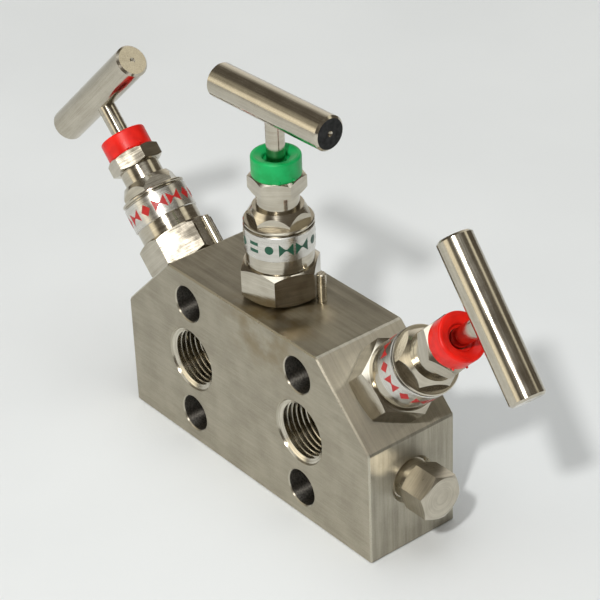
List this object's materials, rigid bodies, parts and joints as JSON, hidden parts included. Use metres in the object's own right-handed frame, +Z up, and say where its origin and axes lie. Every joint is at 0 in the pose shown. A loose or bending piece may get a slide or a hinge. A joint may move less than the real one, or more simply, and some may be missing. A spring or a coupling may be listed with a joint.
{
  "type": "three-valve instrument manifold",
  "caption": "Steel instrument manifold with threaded process ports, flange bolt holes, plugged ends, and needle-valve heads with T-bar handles and coloured dust caps.",
  "frame": {"origin": "centre of the body's flat bottom face", "axes": "+X along the body's length, +Y out of the instrument face, +Z up along the equalising valve"},
  "size_m": [0.2266, 0.0336, 0.131],
  "materials": {
    "body_steel": "ground and brushed stainless steel, warm grey",
    "plug_steel": "machined stainless steel",
    "turned_steel": "bright turned stainless steel",
    "sleeve_steel": "satin stainless band with painted marks",
    "handle_steel": "satin-polished stainless bar",
    "stem_steel": "polished stainless rod",
    "needle_steel": "hardened stainless steel",
    "pin_steel": "plain steel pin",
    "seal_metal": "soft metal seal ring",
    "seal_white": "white PTFE",
    "packing": "PTFE packing",
    "cap_green": "green moulded plastic",
    "cap_red": "red moulded plastic"
  },
  "bodies": {
    "root": {"manifold_body": "body_steel", "end_plug_left": "plug_steel", "instrument_seal_ring_left": "seal_white", "end_plug_right": "plug_steel", "instrument_seal_ring_right": "seal_white", "equalise_bonnet": "turned_steel", "equalise_bonnet_seal": "seal_metal", "equalise_label_sleeve": "sleeve_steel", "equalise_packing_washer": "turned_steel", "equalise_packing_ring_lower": "packing", "equalise_packing_ring_upper": "packing", "equalise_thrust_ring": "turned_steel", "equalise_lock_nut": "turned_steel", "equalise_gland_adjuster": "turned_steel", "equalise_dust_cap": "cap_green", "equalise_lock_pin": "pin_steel", "isolate_left_bonnet": "turned_steel", "isolate_left_bonnet_seal": "seal_metal", "isolate_left_label_sleeve": "sleeve_steel", "isolate_left_packing_washer": "turned_steel", "isolate_left_packing_ring_lower": "packing", "isolate_left_packing_ring_upper": "packing", "isolate_left_thrust_ring": "turned_steel", "isolate_left_lock_nut": "turned_steel", "isolate_left_gland_adjuster": "turned_steel", "isolate_left_dust_cap": "cap_red", "isolate_left_lock_pin": "pin_steel", "isolate_right_bonnet": "turned_steel", "isolate_right_bonnet_seal": "seal_metal", "isolate_right_label_sleeve": "sleeve_steel", "isolate_right_packing_washer": "turned_steel", "isolate_right_packing_ring_lower": "packing", "isolate_right_packing_ring_upper": "packing", "isolate_right_thrust_ring": "turned_steel", "isolate_right_lock_nut": "turned_steel", "isolate_right_gland_adjuster": "turned_steel", "isolate_right_dust_cap": "cap_red", "isolate_right_lock_pin": "pin_steel"},
    "equalise_needle": {"equalise_needle_tip": "needle_steel"},
    "equalise_handle": {"equalise_stem": "stem_steel", "equalise_t_bar": "handle_steel"},
    "isolate_left_needle": {"isolate_left_needle_tip": "needle_steel"},
    "isolate_left_handle": {"isolate_left_stem": "stem_steel", "isolate_left_t_bar": "handle_steel"},
    "isolate_right_needle": {"isolate_right_needle_tip": "needle_steel"},
    "isolate_right_handle": {"isolate_right_stem": "stem_steel", "isolate_right_t_bar": "handle_steel"}
  },
  "joints": [
    {"name": "equalise_lift", "type": "slide", "parent": "root", "child": "equalise_needle", "axis": [0, 0, 1], "range_m": [0, 0.0045]},
    {"name": "equalise_turn", "type": "hinge", "parent": "equalise_needle", "child": "equalise_handle", "pos_m": [0, 0, 0.0625], "axis": [0, 0, 1], "range_deg": [0, 1620]},
    {"name": "isolate_left_lift", "type": "slide", "parent": "root", "child": "isolate_left_needle", "axis": [-0.7071, 0, 0.7071], "range_m": [0, 0.0045]},
    {"name": "isolate_left_turn", "type": "hinge", "parent": "isolate_left_needle", "child": "isolate_left_handle", "pos_m": [-0.0479, 0, 0.0509], "axis": [-0.7071, 0, 0.7071], "range_deg": [0, 1620]},
    {"name": "isolate_right_lift", "type": "slide", "parent": "root", "child": "isolate_right_needle", "axis": [0.7071, 0, 0.7071], "range_m": [0, 0.0045]},
    {"name": "isolate_right_turn", "type": "hinge", "parent": "isolate_right_needle", "child": "isolate_right_handle", "pos_m": [0.0479, 0, 0.0509], "axis": [0.7071, 0, 0.7071], "range_deg": [0, 1620]}
  ],
  "couplings": [
    {"joint": "equalise_lift", "follows": "equalise_turn", "m_per_rad": 0.00015915},
    {"joint": "isolate_left_lift", "follows": "isolate_left_turn", "m_per_rad": 0.00015915},
    {"joint": "isolate_right_lift", "follows": "isolate_right_turn", "m_per_rad": 0.00015915}
  ]
}
